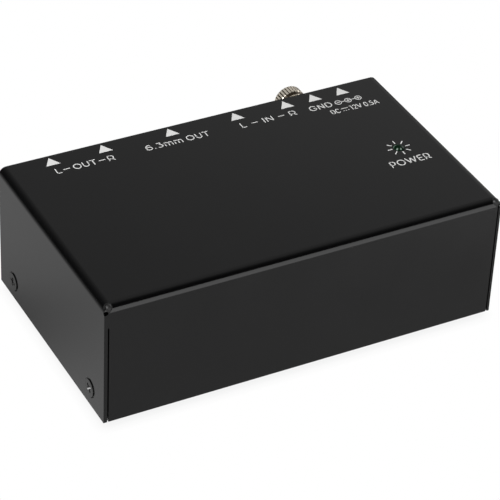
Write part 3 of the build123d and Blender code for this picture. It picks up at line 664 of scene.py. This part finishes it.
# Ground terminal: a stud through the rear panel and a knurled thumb nut, turned
# from brass and plated with nickel, a little warm. The pillars under the board
# have the same plate.
plate_light = (0.95, 0.88, 0.76, 1)
plate_dark = (0.88, 0.8, 0.67, 1)
groove_darkening = (0.05, 0.036, 0.022, 1)
ground_axis = (0.0418, 0.03525)
knurl_floor = 0.0046
knurl_dark, knurl_bright = 0.00025, 0.00045
neck_bright, neck_dark = -0.0003, -0.0001
tree, shader = surface("plated_brass", plate_light, plate_dark, 0.34, metallic=0.6, size=0.25, depth=0.000004)
x, y, z = object_axes(tree)
radial = distance(tree, x, ground_axis[0], z, ground_axis[1])
# The grooves are given a darker colour, laid by the distance from the axis, so
# the narrow end of the nut's bevel takes it too.
in_knurl = smooth(tree, radial, knurl_floor + knurl_bright, knurl_floor + knurl_dark)
off_neck = smooth(tree, radial, knurl_floor + neck_bright, knurl_floor + neck_dark)
tinted(tree, shader, maths(tree, "MULTIPLY", in_knurl, off_neck), groove_darkening)

# Nickel-plated parts: the phono sockets' shells, the phone socket's bushing, nut
# and washer and the ground terminal's small hardware, turned or stamped bright.
nickel_light = (0.74, 0.72, 0.68, 1)
nickel_dark = (0.66, 0.64, 0.6, 1)
surface("nickel", nickel_light, nickel_dark, 0.2, metallic=1.0, size=0.3, depth=0.000004, stretch=(1, 3, 1))

# Contacts: tin-plated springs, pins and leads and the ground lug, a little milky
# as tin turns.
tin_light = (0.68, 0.67, 0.64, 1)
tin_dark = (0.58, 0.57, 0.55, 1)
surface("tinned_copper", tin_light, tin_dark, 0.32, metallic=1.0, size=0.2, depth=0.000004)

# Zinc-plated steel: the clinch nuts and the board's screws, with the faint blue
# and straw clouds of passivated zinc.
zinc_light = (0.6, 0.62, 0.64, 1)
zinc_dark = (0.6, 0.56, 0.46, 1)
surface("zinc_steel", zinc_light, zinc_dark, 0.34, metallic=1.0, size=0.15, depth=0.000004)

# Phono sockets' insulators: moulded plastic cores that fill the metal shells and
# hold the contacts, white for the left channel and red for the right.
white_light = (0.78, 0.77, 0.73, 1)
white_dark = (0.7, 0.69, 0.65, 1)
red_light = (0.5, 0.022, 0.016, 1)
red_dark = (0.38, 0.015, 0.012, 1)
surface("white_insulator", white_light, white_dark, 0.38, size=0.4, depth=0.000004)
surface("red_insulator", red_light, red_dark, 0.35, size=0.4, depth=0.000004)

# Black mouldings: the sockets' housings, the inlet and the light's spacer, with
# the fine spark-eroded grain of the mould.
moulding_light = (0.022, 0.022, 0.022, 1)
moulding_dark = (0.014, 0.014, 0.014, 1)
surface("black_moulding", moulding_light, moulding_dark, 0.48, size=0.15, depth=0.00001)

# Feet: four rubber discs with a rounded lower edge, stuck to the tray's bottom.
# The rubber is matt, with the pale bloom that it sweats out.
rubber_light = (0.03, 0.03, 0.029, 1)
rubber_dark = (0.014, 0.014, 0.014, 1)
surface("foot_rubber", rubber_light, rubber_dark, 0.75, specular=0.3, size=0.3, depth=0.00002)

# Ground wire: one wire in extruded green insulation, laid along the terminal's
# lug, bent down behind the rear panel and let into the board.
wire_light = (0.03, 0.22, 0.055, 1)
wire_dark = (0.02, 0.16, 0.04, 1)
surface("green_wire", wire_light, wire_dark, 0.38, size=0.3, depth=0.000004)

# Circuit board: glass laminate under green solder mask. The tracks under it show
# as broken stretches of a lighter green in two directions, and follow no
# circuit.
board_light = (0.014, 0.1, 0.04, 1)
board_dark = (0.01, 0.075, 0.03, 1)
track_green = (0.03, 0.2, 0.07, 1)
track_pitch = 0.0054
track_half = 0.0003
track_edge = 0.0005
track_noise = 90.0
track_share = (0.46, 0.48)
tree, shader = surface("green_board", board_light, board_dark, 0.3, size=0.4, depth=0.000004)
x, y, z = object_axes(tree)
for along, across in ((x, y), (y, x)):
    patch = node(tree, "ShaderNodeTexNoise", noise_dimensions="2D", Scale=track_noise, Detail=0.0)
    turned = node(tree, "ShaderNodeCombineXYZ")
    tree.links.new(along, turned.inputs[0])
    tree.links.new(maths(tree, "SNAP", across, track_pitch), turned.inputs[1])
    link(tree, (turned, 0), (patch, "Vector"))
    from_track = maths(tree, "PINGPONG", across, track_pitch / 2)
    track_mask = smooth(tree, from_track, track_edge, track_half)
    patch_mask = smooth(tree, patch.outputs["Fac"], *track_share)
    tinted(tree, shader, maths(tree, "MULTIPLY", track_mask, patch_mask), track_green)

# Chips, regulator and diode: black epoxy moulded round the silicon, finely matt
# from the mould. One colour covers each whole, with its legs and metal tab.
resin_light = (0.03, 0.03, 0.032, 1)
resin_dark = (0.02, 0.02, 0.022, 1)
surface("amplifier_resin", resin_light, resin_dark, 0.5, size=0.12, depth=0.000006)

# Electrolytic capacitors: a dark shrink sleeve with a pale stripe down one side,
# and the bare aluminium of the can's top.
sleeve_light = (0.03, 0.036, 0.055, 1)
sleeve_dark = (0.022, 0.026, 0.04, 1)
stripe_pale = (0.45, 0.46, 0.48, 1)
can_metal = (0.7, 0.7, 0.71, 1)
stripe_turn = (0.9, 0.92)
top_turn = (0.85, 0.95)
tree, shader = surface("capacitor_sleeve", sleeve_light, sleeve_dark, 0.28, size=0.5, depth=0.000004)
facing = node(tree, "ShaderNodeTexCoord")
sides = node(tree, "ShaderNodeSeparateXYZ")
link(tree, (facing, "Normal"), (sides, 0))
tinted(tree, shader, smooth(tree, sides.outputs["X"], *stripe_turn), stripe_pale)
can_top = smooth(tree, sides.outputs["Z"], *top_turn)
tinted(tree, shader, can_top, can_metal)
tree.links.new(can_top, shader.inputs["Metallic"])

# Film capacitors: small upright boxes moulded in brick-red plastic, standing on
# the board by two leads each.
film_light = (0.38, 0.065, 0.042, 1)
film_dark = (0.3, 0.048, 0.032, 1)
surface("film_box", film_light, film_dark, 0.32, size=0.3, depth=0.000004)

# Resistors: pale blue lacquer with four plain coloured bands, the bands at
# shares of the body's length.
resistor_row = -0.007
resistor_body = 0.0062
lacquer_light = (0.24, 0.44, 0.52, 1)
lacquer_dark = (0.18, 0.36, 0.44, 1)
resistor_bands = (
    (-0.36, (0.25, 0.09, 0.02, 1)),
    (-0.16, (0.02, 0.02, 0.02, 1)),
    (0.02, (0.5, 0.03, 0.02, 1)),
    (0.34, (0.3, 0.1, 0.03, 1)),
)
band_half = 0.05
band_fade = 0.8
tree, shader = surface("resistor_lacquer", lacquer_light, lacquer_dark, 0.25, size=0.3, depth=0.000004)
x, y, z = object_axes(tree)
share = maths(tree, "DIVIDE", maths(tree, "SUBTRACT", y, resistor_row), resistor_body)
for centre, color in resistor_bands:
    off = maths(tree, "ABSOLUTE", maths(tree, "SUBTRACT", share, centre))
    tinted(tree, shader, smooth(tree, off, band_half, band_fade * band_half), color)

# Supply choke: a ferrite bobbin wound with enamelled copper wire. The winding is
# a colour on the bobbin's waist, with painted shade, a darker copper, between the turns.
choke_winding = (0.0127, 0.0193)
wire_pitch = 0.0005
ferrite_light = (0.07, 0.062, 0.056, 1)
ferrite_dark = (0.045, 0.04, 0.036, 1)
painted_turn_shade = (0.16, 0.05, 0.02, 1)
wire_copper = (0.5, 0.17, 0.06, 1)
tree, shader = surface("ferrite", ferrite_light, ferrite_dark, 0.6, size=0.2, depth=0.00001)
x, y, z = object_axes(tree)
over_foot = maths(tree, "GREATER_THAN", z, choke_winding[0])
under_head = maths(tree, "LESS_THAN", z, choke_winding[1])
wound = maths(tree, "MULTIPLY", over_foot, under_head)
turns = smooth(tree, maths(tree, "PINGPONG", z, wire_pitch / 2), 0.0, wire_pitch / 4)
# Painted shade between the turns, under the copper colour of the wire.
tinted(tree, shader, wound, painted_turn_shade)
tinted(tree, shader, maths(tree, "MULTIPLY", wound, turns), wire_copper)
